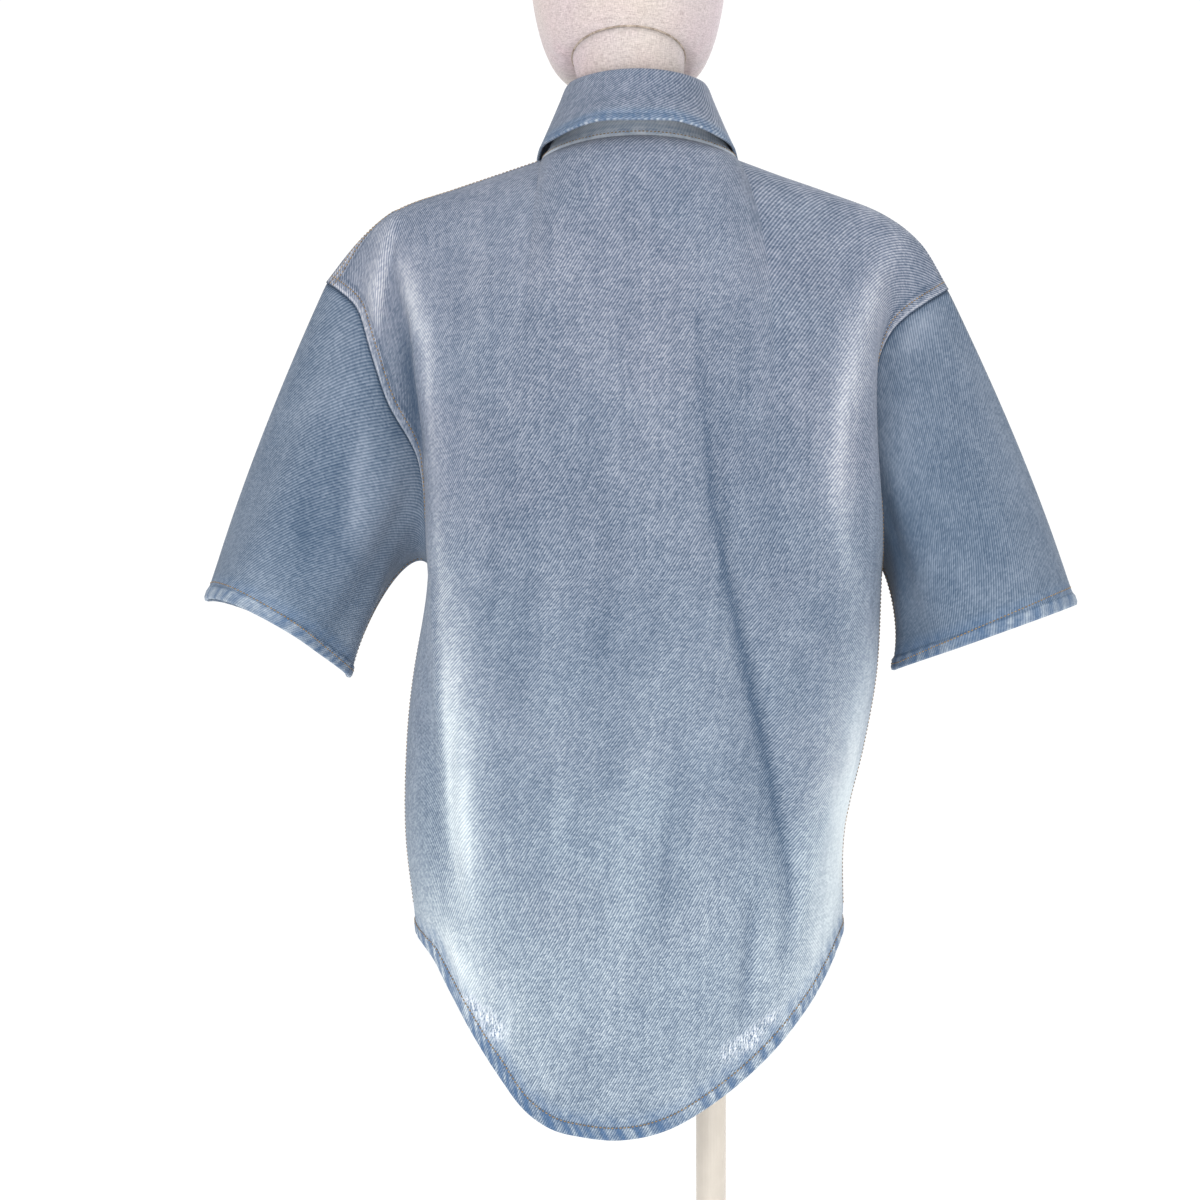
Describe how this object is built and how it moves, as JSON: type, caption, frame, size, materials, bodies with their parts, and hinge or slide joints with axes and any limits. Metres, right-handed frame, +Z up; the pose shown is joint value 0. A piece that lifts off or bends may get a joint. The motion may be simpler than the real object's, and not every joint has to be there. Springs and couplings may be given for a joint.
{
  "type": "denim shirt on a dress form",
  "caption": "Boxy short-sleeved denim shirt with a folded collar and curved hem, worn by a limbless dress form on a round base.",
  "frame": {"origin": "centre of the round base's flat underside, on the floor", "axes": "+Z up, +Y towards the shirt's front, +X towards the wearer's right"},
  "size_m": [0.7214, 0.34, 1.7178],
  "materials": {
    "denim": "washed light blue twill, brushed and matte",
    "button": "pearly cream, polished",
    "form_linen": "fine off-white linen cover, matte",
    "stand_cream": "cream lacquer, satin"
  },
  "bodies": {
    "root": {"back": "denim", "front_left": "denim", "front_right": "denim", "placket": "denim", "sleeve_left": "denim", "sleeve_right": "denim", "collar_stand": "denim", "collar_leaf": "denim", "button_1": "button", "button_2": "button", "button_3": "button", "button_4": "button", "button_5": "button", "button_6": "button", "button_7": "button", "form_body": "form_linen", "form_head": "form_linen", "form_socket": "stand_cream", "pole": "stand_cream", "base_hub": "stand_cream", "base_plate": "stand_cream"}
  },
  "joints": []
}
